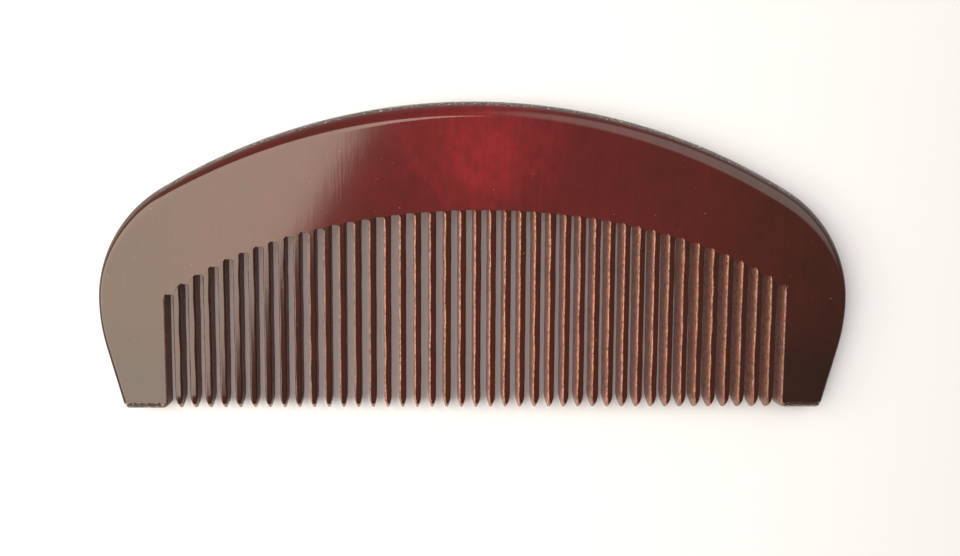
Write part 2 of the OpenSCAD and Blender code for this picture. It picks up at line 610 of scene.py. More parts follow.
@dataclass(frozen=True)
class LacqueredWood:
    """Dense red-brown comb timber, stained, rubbed down and lacquered to a high gloss.

    The clear coat gives a sharp reflection over the deep red of the stained wood. The stain is
    paler in the middle of the back and darker towards the ends and the feet, and a painted pool of
    light, a soft sheen painted into its colour, brightens the middle of the back; the fine teeth
    take a darker copy. The grain runs along the teeth and shows through the film as faint streaks
    and mottling.

    Attributes:
        name: name of the material.
        stain: colours of the stain from where it is thickest to where it is thinnest, each with
            the share of light that it lets through.
        dust: specks of dust under the film.
        dust_cell: spacing of the specks.
        dust_size: size of a speck as a share of its spacing.
        middle_level: how much light the stain lets through in the middle of the comb.
        end_level: how much at its ends.
        reach: distance from the middle at which it has fallen to that.
        low_level: share of it that is left low down, at the feet.
        low_y: Y below which only that share is left.
        high_y: Y above which all of it is.
        painted_glow: painted light, a pool of sheen painted into the colour: how much it adds at
            its middle.
        painted_glow_y: Y of the middle of that pool.
        painted_glow_size: half its length and half its height.
        clouds: slow changes in the stain.
        blotches: mottling.
        grain: streaks of the grain.
        grain_strength: strength of the grain's relief.
        grain_depth: its depth.
        peel: waves in the film.
        peel_strength: their strength.
        peel_depth: their depth.
        wood_roughness: roughness of the stained wood.
        coat_roughness: roughness of the film.
        coat_ior: refraction of the film.
    """

    name: str = "lacquered_wood"
    stain: tuple[tuple[float, str], ...] = (
        (0.06, "#1e120d"), (0.26, "#361712"), (0.62, "#4b181a"), (1.0, "#691d22"))
    dust: str = "#a06a5c"
    dust_cell: Place = (2.3, 2.9, 2.6)
    dust_size: float = 0.03
    middle_level: float = 0.66
    end_level: float = 0.2
    reach: float = 68.0
    low_level: float = 0.4
    low_y: float = -24.0
    high_y: float = -6.0
    painted_glow: float = 0.17
    painted_glow_y: float = 21.0
    painted_glow_size: Plan = (30.0, 15.0)
    clouds: Pattern = Pattern((14.0, 19.0, 12.0), 4.0, 0.55, least=0.8, most=1.2)
    blotches: Pattern = Pattern((1.6, 3.1, 1.8), 3.0, 0.6, least=0.88, most=1.12)
    grain: Pattern = Pattern((0.35, 11.0, 1.0), 5.0, 0.65, least=0.92, most=1.07)
    grain_strength: float = 0.3
    grain_depth: float = 0.014
    peel: Pattern = Pattern((2.2, 3.4, 2.2), 2.0)
    peel_strength: float = 0.1
    peel_depth: float = 0.05
    wood_roughness: float = 0.5
    coat_roughness: float = 0.09
    coat_ior: float = 1.49

    def level(self, tree: bpy.types.NodeTree) -> bpy.types.NodeSocket:
        """How much light the stain lets through, from 0 to about 1, with a painted pool of light
        added.

        Args:
            tree: the material's tree.

        Returns:
            The socket that gives it.
        """
        place = add(tree, "TexCoord").outputs["Object"]
        axes = add(tree, "SeparateXYZ", {}, {0: place})
        away = add(tree, "Math", {}, {0: axes.outputs["X"]}, operation="ABSOLUTE")
        ends = dict(zip(ENDS, (0.0, self.reach * MM, self.middle_level, self.end_level)))
        across = add(tree, "MapRange", ends, {0: away.outputs[0]})
        feet = dict(zip(ENDS, (self.low_y * MM, self.high_y * MM, self.low_level, 1.0)))
        up = add(tree, "MapRange", feet, {0: axes.outputs["Y"]}, interpolation_type="SMOOTHSTEP")
        # Painted light: a soft pool of sheen, brightest in the middle of the back, painted into the
        # stain.
        wide, high = self.painted_glow_size
        ellipse = {"Scale": (1 / (wide * MM), 1 / (high * MM), 0.0),
                   "Location": (0.0, -self.painted_glow_y / high, 0.0)}
        centred = add(tree, "Mapping", ellipse, {"Vector": place})
        far = add(tree, "VectorMath", {}, {0: centred.outputs[0]}, operation="LENGTH")
        painted_glow = add(tree, "MapRange", {"To Min": self.painted_glow, "To Max": 0.0},
                   {0: far.outputs["Value"]}, interpolation_type="SMOOTHSTEP")
        level = add(tree, "Math", {}, {0: across.outputs[0], 1: up.outputs[0], 2: painted_glow.outputs[0]},
                    operation="MULTIPLY_ADD").outputs[0]
        for pattern in (self.clouds, self.blotches):
            tone = pattern.spread(tree, pattern.noise(tree))
            level = add(tree, "Math", {}, {0: level, 1: tone}, operation="MULTIPLY").outputs[0]
        return level

    def build(self) -> bpy.types.Material:
        """The material, with its figure, grain, coat and a few specks of dust."""
        material = blank(self.name)
        tree = material.node_tree
        stain = add(tree, "ValToRGB", {}, {0: self.level(tree)})
        fill(stain, self.stain)
        grain = self.grain.noise(tree)
        streaks = self.grain.spread(tree, grain)
        toned = add(tree, "VectorMath", {}, {0: stain.outputs[0], 1: streaks}, operation="MULTIPLY")
        cells = add(tree, "TexVoronoi", {"Scale": 1.0}, {"Vector": stretched(tree, self.dust_cell)})
        speck = add(tree, "Math", {1: self.dust_size}, {0: cells.outputs["Distance"]},
                    operation="LESS_THAN")
        dusty = add(tree, "Mix", {SECOND: linear(self.dust)},
                    {0: speck.outputs[0], FIRST: toned.outputs[0]}, data_type="RGBA")
        wavy = add(tree, "Bump", {"Strength": self.peel_strength, "Distance": self.peel_depth * MM},
                   {"Height": self.peel.noise(tree)})
        brushed = add(tree, "Bump",
                      {"Strength": self.grain_strength, "Distance": self.grain_depth * MM},
                      {"Height": grain, "Normal": wavy.outputs[0]})
        coat(tree, dusty.outputs[MIXED], brushed.outputs[0],
             {"Roughness": self.wood_roughness, "Coat Weight": 1.0, "Coat IOR": self.coat_ior,
              "Coat Roughness": self.coat_roughness, "Specular IOR Level": 0.0})
        return material


@dataclass(frozen=True)
class SawnWood:
    """The same timber where the saw passed: bare, rubbed and lightly finished, with open pores.

    It is a paler, warmer brown than the faces, with dark flecks along the grain and a soft sheen.
    It grows darker towards the right end of the comb.

    Attributes:
        name: name of the material.
        pale: wood between the pores.
        deep: denser grain.
        pore: open pores.
        grain: the grain, from deep to pale.
        pores: the pores, and how dark they are.
        relief: strength of the relief.
        relief_depth: its depth.
        darken_from: X where it starts to grow darker towards the right end.
        darken_to: X where it is darkest.
        darkest_share: share of its light that it gives back there.
        roughness: roughness of the rubbed wood.
        gloss: strength of the wood's own reflection.
        sheen: weight of the thin film left on it.
        sheen_roughness: roughness of that film.
    """

    name: str = "sawn_wood"
    pale: str = "#9a6756"
    deep: str = "#6c372a"
    pore: str = "#34180f"
    grain: Pattern = Pattern((0.4, 1.3, 0.5), 5.0, 0.65, start=0.32, stop=0.66)
    pores: Pattern = Pattern((0.3, 0.7, 0.28), 2.0, start=0.52, stop=0.6, most=0.85)
    relief: float = 0.8
    relief_depth: float = 0.09
    darken_from: float = 10.0
    darken_to: float = 70.0
    darkest_share: float = 0.55
    roughness: float = 0.5
    gloss: float = 0.3
    sheen: float = 1.0
    sheen_roughness: float = 0.26

    def build(self) -> bpy.types.Material:
        """The material, with its grain, its pores and its darkening towards the right end."""
        material = blank(self.name)
        tree = material.node_tree
        grain = self.grain.noise(tree)
        tone = self.grain.spread(tree, grain)
        pores = self.pores.spread(tree, self.pores.noise(tree))
        wood = add(tree, "Mix", {FIRST: linear(self.deep), SECOND: linear(self.pale)}, {0: tone},
                   data_type="RGBA")
        flecked = add(tree, "Mix", {SECOND: linear(self.pore)},
                      {0: pores, FIRST: wood.outputs[MIXED]}, data_type="RGBA")
        place = add(tree, "TexCoord").outputs["Object"]
        along = add(tree, "SeparateXYZ", {}, {0: place}).outputs["X"]
        ends = dict(zip(ENDS, (self.darken_from * MM, self.darken_to * MM, 1.0, self.darkest_share)))
        rightward_darkening = add(tree, "MapRange", ends, {0: along})
        dark = add(tree, "VectorMath", {}, {0: flecked.outputs[MIXED], 1: rightward_darkening.outputs[0]},
                   operation="MULTIPLY")
        sunk = add(tree, "Math", {}, {0: grain, 1: pores}, operation="SUBTRACT")
        rough = add(tree, "Bump", {"Strength": self.relief, "Distance": self.relief_depth * MM},
                    {"Height": sunk.outputs[0]})
        coat(tree, dark.outputs[0], rough.outputs[0],
             {"Roughness": self.roughness, "Coat Weight": self.sheen,
              "Coat Roughness": self.sheen_roughness, "Specular IOR Level": self.gloss})
        return material


@dataclass(frozen=True)
class EndGrain:
    """The ends of the grain along the spine and the feet, filed round and lacquered.

    It drinks the stain, so it looks nearly black-brown. Its open cells break the gloss, and small
    pale specks fleck the film.

    Attributes:
        wood: soaked wood.
        cell: the paler walls between its cells.
        pale_speck: colour of the small pale specks.
        cells: the open cells.
        pale_specks: where the pale specks lie.
        relief: strength of the relief.
        relief_depth: its depth.
        roughness: roughness of the wood.
        gloss: strength of the wood's own reflection.
        coat_roughness: roughness of the film.
    """

    wood: str = "#180c0a"
    cell: str = "#341d18"
    pale_speck: str = "#c2a79c"
    cells: Pattern = Pattern((0.7, 0.8, 0.6), 1.5, 0.6, start=0.35, stop=0.65)
    pale_specks: Pattern = Pattern((0.45, 0.6, 0.4), 2.0, 0.6, start=0.64, stop=0.7)
    relief: float = 1.0
    relief_depth: float = 0.25
    roughness: float = 0.55
    gloss: float = 0.2
    coat_roughness: float = 0.1

    def build(self) -> bpy.types.Material:
        """The material, with its open cells and chips."""
        material = blank("end_grain")
        tree = material.node_tree
        cells = self.cells.noise(tree)
        tone = self.cells.spread(tree, cells)
        pale_specks = self.pale_specks.spread(tree, self.pale_specks.noise(tree))
        wood = add(tree, "Mix", {FIRST: linear(self.wood), SECOND: linear(self.cell)}, {0: tone},
                   data_type="RGBA")
        worn = add(tree, "Mix", {SECOND: linear(self.pale_speck)},
                   {0: pale_specks, FIRST: wood.outputs[MIXED]}, data_type="RGBA")
        rough = add(tree, "Bump", {"Strength": self.relief, "Distance": self.relief_depth * MM},
                    {"Height": cells})
        coat(tree, worn.outputs[MIXED], rough.outputs[0],
             {"Roughness": self.roughness, "Coat Weight": 1.0,
              "Coat Roughness": self.coat_roughness, "Specular IOR Level": self.gloss})
        return material


# ---------------------------------------------------------------------------------------------
# The pieces


@dataclass
class Back:
    """The half-moon back, with the closed ends of the saw cuts along its lower side.

    Attributes:
        board: the board.
        cuts: the saw cuts.
        lapped: rings of the rounded edge that the lacquer of the face laps over.
        end_grain_reach: share of the half-length where the edge cuts the grain's ends.
        columns: sections along the rim.
        nibbles: points across the closed end of a cut.
        ragged: how far the end of a cut strays.
        bevel: width of the worn edge along it.
        worn_edge: section of that edge: depth down the wall and distance back from it, as shares
            of its width.
        worn_share: least and greatest share of that width at a point.
        worn_look: how far the edge looks out of the cut, and how far up.
        draw: draws the strays and the wear, cut after cut from the right.
    """

    board: Board
    cuts: Cuts
    lapped: int = 4
    end_grain_reach: float = 0.82
    columns: int = 180
    nibbles: int = 9
    ragged: float = 0.1
    bevel: float = 0.06
    worn_edge: tuple[Plan, ...] = ((0.0, 1.0), (0.35, 0.3), (1.0, 0.0))
    worn_share: Plan = (0.5, 1.3)
    worn_look: Plan = (0.2, 1.2)
    draw: random.Random = field(default_factory=lambda: random.Random(11))

    def rim_rows(self) -> list[list[tuple[Place, Place]]]:
        """Sections round the rim, from the left end tooth's root to the right one's.

        Returns:
            One row of places and directions for each section, upper face to lower face.
        """
        roots = (self.cuts.end_y(1), self.cuts.end_y(self.cuts.teeth + 1))
        rows = []
        for c in range(self.columns + 1):
            share = c / self.columns
            rows.append(rim_row(self.board, lambda inset, t=share: mix(
                -self.board.run_at(roots[0], inset), self.board.run_at(roots[1], inset), t)))
        return rows

    def cut_end(self, cut: int) -> list[list[tuple[Place, Place]]]:
        """The closed end of a cut: a ragged wall with a worn edge at each face.

        Args:
            cut: number of the cut.

        Returns:
            Columns across the wall, each from the upper face down to the lower face.
        """
        y = self.cuts.end_y(cut)
        left = self.cuts.middle(cut) - self.cuts.kerf / 2
        out, up = self.worn_look
        columns = []
        for k in range(self.nibbles + 1):
            inner = 0 < k < self.nibbles
            stray = self.draw.uniform(-1, 1) * self.ragged if inner else 0.0
            worn = self.bevel * self.draw.uniform(*self.worn_share) if inner else 0.0
            x = left + self.cuts.kerf * k / self.nibbles
            wall = y + stray
            column = []
            for face, edge in ((1, self.worn_edge), (-1, self.worn_edge[::-1])):
                for depth, back in edge:
                    z = self.board.top(wall) - worn * depth if face > 0 else worn * depth
                    rise = worn * back * self.board.slope if face > 0 else 0.0
                    look = unit((0.0, -depth - out, (up - depth) * face))
                    column.append(((self.cuts.along(x, z), wall + worn * back, z + rise), look))
            columns.append(column)
        return columns

    def build(self, materials: Sequence[bpy.types.Material]) -> bpy.types.Object:
        """Builds and dresses the back.

        Args:
            materials: one material for each finish.

        Returns:
            The piece.
        """
        shell = Shell("comb_back")
        rows = self.rim_rows()
        middle = (len(rows[0]) - 1) / 2
        reach = self.board.edge_steps - self.lapped

        def finish(row: int, step: int) -> Finish:
            """End grain round the edge of the spine, lacquer elsewhere."""
            across = abs(rows[row][0][0][0]) < self.end_grain_reach * self.board.length / 2
            edge = abs(step + 0.5 - middle) < reach
            return Finish.END_GRAIN if across and edge else Finish.LACQUERED

        shell.grid(rows, finish)
        upper = [row[0][0] for row in rows]
        lower = [row[-1][0] for row in rows]
        front = (0.0, -1.0, 0.0)
        sawn = len(self.worn_edge) - 1
        for cut in range(self.cuts.teeth + 1, 0, -1):
            wall = self.cut_end(cut)
            shell.grid(wall, lambda row, step: Finish.SAWN if step == sawn else Finish.LACQUERED,
                       faceted=lambda row, step: step != sawn)
            upper += [column[0][0] for column in reversed(wall)]
            lower += [column[-1][0] for column in reversed(wall)]
            if cut > 1:
                shell.face(tooth_root(self.cuts, cut - 1), [front] * 4, Finish.SAWN)
        shell.level(upper, self.board.upper_normal, Finish.LACQUERED)
        shell.level(lower, (0.0, 0.0, -1.0), Finish.LACQUERED)
        for row, cut, x in ((rows[0], 1, -1), (rows[-1], self.cuts.teeth + 1, 1)):
            y = self.cuts.end_y(cut)
            wall_x = self.cuts.middle(cut) + x * self.cuts.kerf / 2
            corners = [(self.cuts.along(wall_x, z), y, z) for z in (0.0, self.board.top(y))]
            shell.level([place for place, look in row] + corners, front, Finish.SAWN)
        return shell.make(materials, "back")


def rim_row(board: Board, run: Callable[[float], float]) -> list[tuple[Place, Place]]:
    """One section round the rim, from the upper face to the lower face.

    Args:
        board: the board.
        run: how far along the outline the section is, for a given inset.

    Returns:
        Places and the directions they look.
    """
    row = []
    for upper in (True, False):
        steps = board.rim(board.tip_t / 2)
        part = []
        for k in range(len(steps)):
            inset = steps[k].inset
            plan, out = board.outline(run(inset), inset)
            step = board.rim(board.top(plan[1]) / 2)[k]
            part.append(board.spot(plan, out, step, upper))
        row += part if upper else part[-2::-1]
    return row


def tooth_root(cuts: Cuts, tooth: int) -> list[Place]:
    """The four corners where a fine tooth joins the back.

    Args:
        cuts: the saw cuts.
        tooth: number of the tooth.

    Returns:
        Upper left, upper right, lower right and lower left.
    """
    half = cuts.kerf / 2
    left, right = cuts.middle(tooth) + half, cuts.middle(tooth + 1) - half
    left_y, right_y = cuts.end_y(tooth), cuts.end_y(tooth + 1)
    left_z, right_z = cuts.board.top(left_y), cuts.board.top(right_y)
    return [
        (cuts.along(left, left_z), left_y, left_z),
        (cuts.along(right, right_z), right_y, right_z),
        (cuts.along(right, 0.0), right_y, 0.0),
        (cuts.along(left, 0.0), left_y, 0.0),
    ]


@dataclass
class FineTooth:
    """One fine tooth: flat lacquered faces, rounded sawn edges, and a point.

    Attributes:
        cuts: the saw cuts.
        number: its number, from the left.
        point_l: length over which it closes in width.
        thin_l: length over which it closes in thickness.
        point_w: width left at the tip.
        point_t: thickness left at the tip.
        ogive: power of the curve that it closes by in width.
        blunt: power of the curve that it closes by in thickness.
        edge_w: width of the rounded edge along each face.
        edge_h: depth of that edge.
        fade: length over which the rounding dies away at the root.
        wander: how far the saw and the file strayed.
        stations: sections along the straight part.
        point_stations: sections along the point.
        bare_stations: how many of those the film has worn off.
        sawn_left_edge_from: tooth from which all the upper left edge is sawn; before it, part keeps
            dark lacquer.
        curve: points on each rounded edge.
        crowd: power by which the sections crowd towards the root.
        edge_stray: share by which the width of a rounded edge strays.
        edge_full: share of the half-width that it takes up at the tip.
        edge_taper: power by which it grows to that.
        waves: how many waves each side and edge wanders by.
        wave_rate: least and greatest rate of a wave, in radians for each millimetre.
        wave_size: least and greatest size of a wave.
        seed: seed of the waves, which the tooth's number is added to.
        drawn: rate, phase and size of each wave, for the two sides and then the two edges.
    """

    cuts: Cuts
    number: int
    point_l: float = 2.8
    thin_l: float = 4.4
    point_w: float = 0.5
    point_t: float = 1.2
    ogive: float = 2.3
    blunt: float = 6.0
    edge_w: float = 0.36
    edge_h: float = 0.5
    fade: float = 0.35
    wander: float = 0.035
    stations: int = 22
    point_stations: int = 12
    bare_stations: int = 4
    sawn_left_edge_from: int = 18
    curve: int = 5
    crowd: float = 1.4
    edge_stray: float = 0.2
    edge_full: float = 0.98
    edge_taper: float = 1.5
    waves: int = 3
    wave_rate: Plan = (0.25, 0.9)
    wave_size: Plan = (0.4, 1.0)
    seed: int = 100
    drawn: list[list[tuple[float, float, float]]] = field(init=False)

    def __post_init__(self) -> None:
        """Draws the slow waves that its two sides and the edges along them wander by."""
        draw = random.Random(self.seed + self.number)
        self.drawn = [[(draw.uniform(*self.wave_rate), draw.uniform(0, math.tau),
                        draw.uniform(*self.wave_size))
                       for _ in range(self.waves)] for _ in range(4)]

    def stray(self, which: int, y: float) -> float:
        """How far a side or an edge has wandered at y, between about -1 and 1.

        Args:
            which: 0 and 1 for the sides, 2 and 3 for the rounded edges.
            y: place along the tooth.

        Returns:
            The share.
        """
        return sum(size * math.sin(rate * y + phase) for rate, phase, size in self.drawn[which]) / 2

    def section(self, share: float) -> list[Place]:
        """The closed section a share of the way from root to tip.

        Args:
            share: 0 at the root, 1 at the tip.

        Returns:
            Its places, upper left edge first and clockwise seen from the tip.
        """
        board = self.cuts.board
        half_w = (self.cuts.pitch - self.cuts.kerf) / 2
        middle = self.cuts.middle(self.number + 0.5)
        roots = (self.cuts.end_y(self.number), self.cuts.end_y(self.number + 1))
        places = []
        quarter = [math.pi / 2 * k / (self.curve - 1) for k in range(self.curve)]
        for side, upper in ((-1, True), (1, True), (1, False), (-1, False)):
            root_y = roots[0] if side < 0 else roots[1]
            y = mix(root_y, board.tip_y, share)
            point = max(0.0, 1 - (y - board.tip_y) / self.point_l)
            left = 1 - point**self.ogive
            thin = max(0.0, 1 - (y - board.tip_y) / self.thin_l)
            wide = self.point_w / 2 + (half_w - self.point_w / 2) * left
            full_t = board.top(y)
            thick = self.point_t + (full_t - self.point_t) * (1 - thin**self.blunt)
            grown = smooth((root_y - y) / self.fade)
            steady = min(grown, left)
            wide += self.wander * steady * self.stray(0 if side < 0 else 1, y)
            near_tip = point**self.edge_taper
            along_w = self.edge_w * (1 + self.edge_stray * self.stray(2 + (side > 0), y))
            round_w = mix(along_w, wide * self.edge_full, near_tip) * grown
            round_h = mix(self.edge_h, thick / 2, near_tip) * grown
            angles = quarter if (side > 0) == upper else quarter[::-1]
            for a in angles:
                x = middle + side * (wide - round_w * (1 - math.sin(a)))
                drop = round_h * (1 - math.cos(a))
                z = full_t / 2 + (thick / 2 - drop) * (1 if upper else -1)
                places.append((self.cuts.along(x, z), y, z))
        return places

    def build(self, materials: Sequence[bpy.types.Material]) -> bpy.types.Object:
        """Builds and dresses the tooth.

        Args:
            materials: one material for each finish.

        Returns:
            The piece.
        """
        name = f"tooth_{self.number:02d}"
        shell = Shell(f"comb_{name}")
        length = self.cuts.end_y(self.number) - self.cuts.board.tip_y
        start = 1 - self.point_l / length
        shares = [start * (k / self.stations) ** self.crowd for k in range(self.stations)]
        shares += [mix(start, 1.0, k / self.point_stations) for k in range(self.point_stations + 1)]
        rings = [self.section(share) for share in shares]
        rows = []
        count = len(rings[0])
        for r, ring in enumerate(rings):
            ahead, behind = rings[min(r + 1, len(rings) - 1)], rings[max(r - 1, 0)]
            rows.append([(p, self.look(ring, k, ahead[k], behind[k])) for k, p in enumerate(ring)])

        bare = len(rings) - 1 - self.bare_stations
        wall = 2 * self.curve - 1
        # Towards the left end, more of the upper left edge keeps the dark lacquer.
        kept = max(0, round((self.curve - 2) * (1 - self.number / self.sawn_left_edge_from)))

        def finish(row: int, step: int) -> Finish:
            """Sawn wood on the left wall, the upper left edge and the tip, dark lacquer elsewhere.
            The right side is painted shade: the shaded copy on its wall and lower edge, and dark
            lacquer on its upper edge.
            """
            worn = row >= bare and step < wall
            if worn or not self.curve - 1 - kept <= step < count - 1:
                return Finish.SAWN
            # Painted shade: the right wall and lower right edge take the darker shaded copy, and
            # the upper right edge keeps the dark lacquer.
            return Finish.SHADED if wall <= step < wall + self.curve else Finish.DARK

        shell.grid(rows, finish, closed=True)
        shell.face(tooth_root(self.cuts, self.number), [(0.0, 1.0, 0.0)] * 4, Finish.SAWN)
        shell.level(rings[-1], (0.0, -1.0, 0.0), Finish.SAWN)
        return shell.make(materials, name)

    def look(self, ring: Sequence[Place], k: int, ahead: Place, behind: Place) -> Place:
        """The way that a place on the tooth looks.

        Args:
            ring: its section; not used.
            k: its number there.
            ahead: the same place one section nearer the tip.
            behind: the same place one section nearer the root.

        Returns:
            The direction.
        """
        corner, step = divmod(k, self.curve)
        a = math.pi / 2 * step / (self.curve - 1)
        lean = math.tan(self.cuts.lean)
        side, upper = ((-1, 1), (1, 1), (1, -1), (-1, -1))[corner]
        if (side > 0) != (upper > 0):
            a = math.pi / 2 - a
        down_z = -upper * math.sin(a) * self.edge_h
        across = Vector((side * math.cos(a) * self.edge_w + down_z * lean, 0.0, down_z))
        down = Vector(ahead) - Vector(behind)
        look = across.cross(down)
        outward = Vector((side * math.sin(a), 0.0, upper * math.cos(a)))
        if look.dot(outward) < 0:
            look.negate()
        return unit(look)


Edge = Callable[[float], tuple[Plan, Plan]]
Section = tuple[Edge, float, float, float, float]


@dataclass
class EndTooth:
    """The broad tooth at one end of the comb.

    Attributes:
        board: the board.
        cuts: the saw cuts.
        side: which end it is at.
        inner_r: radius of the foot's corner beside the fine teeth.
        outer_r: radius of its other corner.
        bevel_l: length of the bevel along the foot.
        bevel_h: depth of that bevel.
        edge_w: width of the rounded edge along the inner wall.
        edge_h: depth of that edge.
        fade: length over which it dies away at the root.
        rough: how far the file's marks reach in at the foot.
        rough_share: least and greatest share of that at a point.
        seed: seed of the marks, which the side's sign is added to.
        flank_columns: sections down the flank.
        corner_columns: sections round each corner.
        foot_columns: sections along the foot.
        wall_columns: sections up the inner wall.
    """

    board: Board
    cuts: Cuts
    side: Side
    inner_r: float = 1.4
    outer_r: float = 1.4
    bevel_l: float = 1.3
    bevel_h: float = 1.5
    edge_w: float = 0.36
    edge_h: float = 0.5
    fade: float = 1.0
    rough: float = 0.11
    rough_share: Plan = (-0.3, 1.0)
    seed: int = 31
    flank_columns: int = 40
    corner_columns: int = 8
    foot_columns: int = 46
    wall_columns: int = 30

    def sections(self) -> list[Section]:
        """Sections round the tooth, from the flank at its root to its inner wall at its root.

        Returns:
            For each section, the place and outward direction in plan for a given inset, then the
            shares of bevel and of inner wall in it, how far the rounding has grown, and how far
            it follows the lean of the saw.
        """
        sign = self.side.value
        cut = 1 if self.side is Side.LEFT else self.cuts.teeth + 1
        root_y = self.cuts.end_y(cut)
        wall_x = abs(self.cuts.middle(cut)) + self.cuts.kerf / 2
        tip_y = self.board.tip_y
        lean = self.board.flank_lean
        (low_x, _), _ = self.board.outline(self.board.run_at(tip_y + self.outer_r, 0.0), 0.0)
        corner = (low_x - self.outer_r / math.cos(lean), tip_y + self.outer_r)
        foot_run = self.board.run_at(corner[1] - self.outer_r * math.sin(lean), 0.0)
        half_turn = (math.pi / 2 + lean) / 2
        made = []
        for k in range(self.flank_columns):
            share = k / self.flank_columns

            def on_flank(inset: float, t: float = share) -> tuple[Plan, Plan]:
                """Place down the flank, stopping where the inset lines of flank and foot cross."""
                short = max(inset - self.outer_r, 0.0) / math.tan(half_turn)
                wide = inset / self.board.end_share
                run = mix(self.board.run_at(root_y, wide), foot_run - short, t)
                (x, y), (nx, ny) = self.board.outline(run, wide)
                return (sign * x, y), (sign * nx, ny)

            made.append((on_flank, 0.0, 0.0, 1.0, 0.0))
        for k in range(self.corner_columns + 1):
            t = k / self.corner_columns
            angle = mix(-lean, -math.pi / 2, t)
            made.append((self.arc(corner, self.outer_r, angle, math.pi - half_turn),
                         smooth(t), 0.0, 1.0, 0.0))
        inner = (wall_x + self.inner_r, tip_y + self.inner_r)
        for k in range(1, self.foot_columns):
            t = k / self.foot_columns
            x = mix(corner[0], inner[0], t)
            made.append((lambda inset, x=x: ((sign * x, tip_y + inset), (0.0, -1.0)),
                         1.0, 0.0, 1.0, t))
        for k in range(self.corner_columns + 1):
            t = k / self.corner_columns
            angle = mix(-math.pi / 2, -math.pi, t)
            made.append((self.arc(inner, self.inner_r, angle, math.pi / 4), 1.0, t, 1.0, 1.0))
        for k in range(1, self.wall_columns + 1):
            y = mix(inner[1], root_y, k / self.wall_columns)
            grown = smooth((root_y - y) / self.fade)
            made.append((lambda inset, y=y: ((sign * (wall_x + inset), y), (-sign * 1.0, 0.0)),
                         1.0, 1.0, grown, 1.0))
        return made

    def arc(self, centre: Plan, radius: float, angle: float, inward: float) -> Edge:
        """Gives the places on a rounded corner.

        Args:
            centre: middle of the corner's arc, on the right-hand side.
            radius: its radius.
            angle: direction of the place from the middle.
            inward: direction from the middle into the tooth, half-way between the two sides.

        Returns:
            A function from an inset to the place and the outward direction. Further in than the
            middle of the arc, every angle falls on the corner where the two sides' insets meet.
        """
        sign = self.side.value
        out = (math.cos(angle), math.sin(angle))

        def place(inset: float) -> tuple[Plan, Plan]:
            """The place and the outward direction."""
            r = max(radius - inset, 0.0)
            past = max(inset - radius, 0.0) / math.sin(inward)
            x = centre[0] + r * out[0] + past * math.cos(inward)
            y = centre[1] + r * out[1] + past * math.sin(inward)
            return (sign * x, y), (sign * out[0], out[1])

        return place

    def step(self, k: int, half: float, bevel: float, wall: float, grown: float) -> RimStep:
        """One step of the section: rim, bevel or inner wall, or between them.

        Args:
            k: number of the step, from the face.
            half: half the thickness there.
            bevel: share of bevel against rim.
            wall: share of inner wall against bevel.
            grown: how far the rounding of the wall has grown.

        Returns:
            The step.
        """
        rim = self.board.rim(half)
        turn = self.board.shoulder_steps
        if k < turn:
            t = k / (turn - 1)
            a = math.pi / 2 * t
            cut = RimStep(self.bevel_l * (1 - math.sin(a)), self.bevel_h * (1 - math.cos(a)),
                          math.sin(a) * self.bevel_h, math.cos(a) * self.bevel_l)
            soft = RimStep(self.edge_w * (1 - math.sin(a)) * grown,
                           self.edge_h * (1 - math.cos(a)) * grown,
                           math.sin(a) * self.edge_h, math.cos(a) * self.edge_w)
        else:
            t = (k - turn + 1) / (len(rim) - turn)
            cut = RimStep(0.0, mix(self.bevel_h, half, t), 1.0, 0.0)
            soft = RimStep(0.0, mix(self.edge_h * grown, half, t), 1.0, 0.0)
        narrow = RimStep(rim[k].inset * self.board.end_share, rim[k].drop, rim[k].out, rim[k].up)
        shares = ((narrow, (1 - bevel)), (cut, bevel * (1 - wall)), (soft, bevel * wall))
        inset = sum(s.inset * w for s, w in shares)
        drop = sum(s.drop * w for s, w in shares)
        out = sum(s.out / math.hypot(s.out, s.up) * w for s, w in shares)
        up = sum(s.up / math.hypot(s.out, s.up) * w for s, w in shares)
        return RimStep(inset, drop, out, up)

    def build(self, materials: Sequence[bpy.types.Material]) -> bpy.types.Object:
        """Builds and dresses the tooth.

        Args:
            materials: one material for each finish.

        Returns:
            The piece.
        """
        name = f"{self.side.name.lower()}_end_tooth"
        shell = Shell(f"comb_{name}")
        draw = random.Random(self.seed + self.side.value)
        rows = []
        sections = self.sections()
        count = self.board.shoulder_steps + self.board.edge_steps
        foot_end = self.flank_columns + 2 * self.corner_columns + self.foot_columns
        foot = range(self.flank_columns + 2, foot_end - 2)
        for c, (place, bevel, wall, grown, lean) in enumerate(sections):
            row = []
            for upper in (True, False):
                part = []
                for k in range(count):
                    near = self.step(k, self.board.tip_t / 2, bevel, wall, grown)
                    half = self.board.top(place(near.inset)[0][1]) / 2
                    step = self.step(k, half, bevel, wall, grown)
                    plan, out = place(step.inset)
                    (x, y, z), look = self.board.spot(plan, out, step, upper)
                    if lean:
                        x = mix(x, self.cuts.along(x, z), lean)
                    if c in foot and 0 < k < count - 1:
                        y += max(0.0, self.rough * draw.uniform(*self.rough_share))
                    part.append(((x, y, z), look))
                row += part if upper else part[-2::-1]
            rows.append(row)
        inner_from = foot_end - self.corner_columns + self.corner_columns // 2
        # Painted shade: the left end tooth's inner wall faces away from the window and takes the
        # darker shaded copy of the sawn wood.
        inner = Finish.SHADED if self.side is Side.LEFT else Finish.SAWN

        def finish(row: int, step: int) -> Finish:
            """Sawn wood on the inner wall, with painted shade on the left tooth's, end grain along
            the foot, lacquer on the flank.
            """
            if row >= inner_from:
                return inner
            return Finish.END_GRAIN if row >= self.flank_columns else Finish.LACQUERED

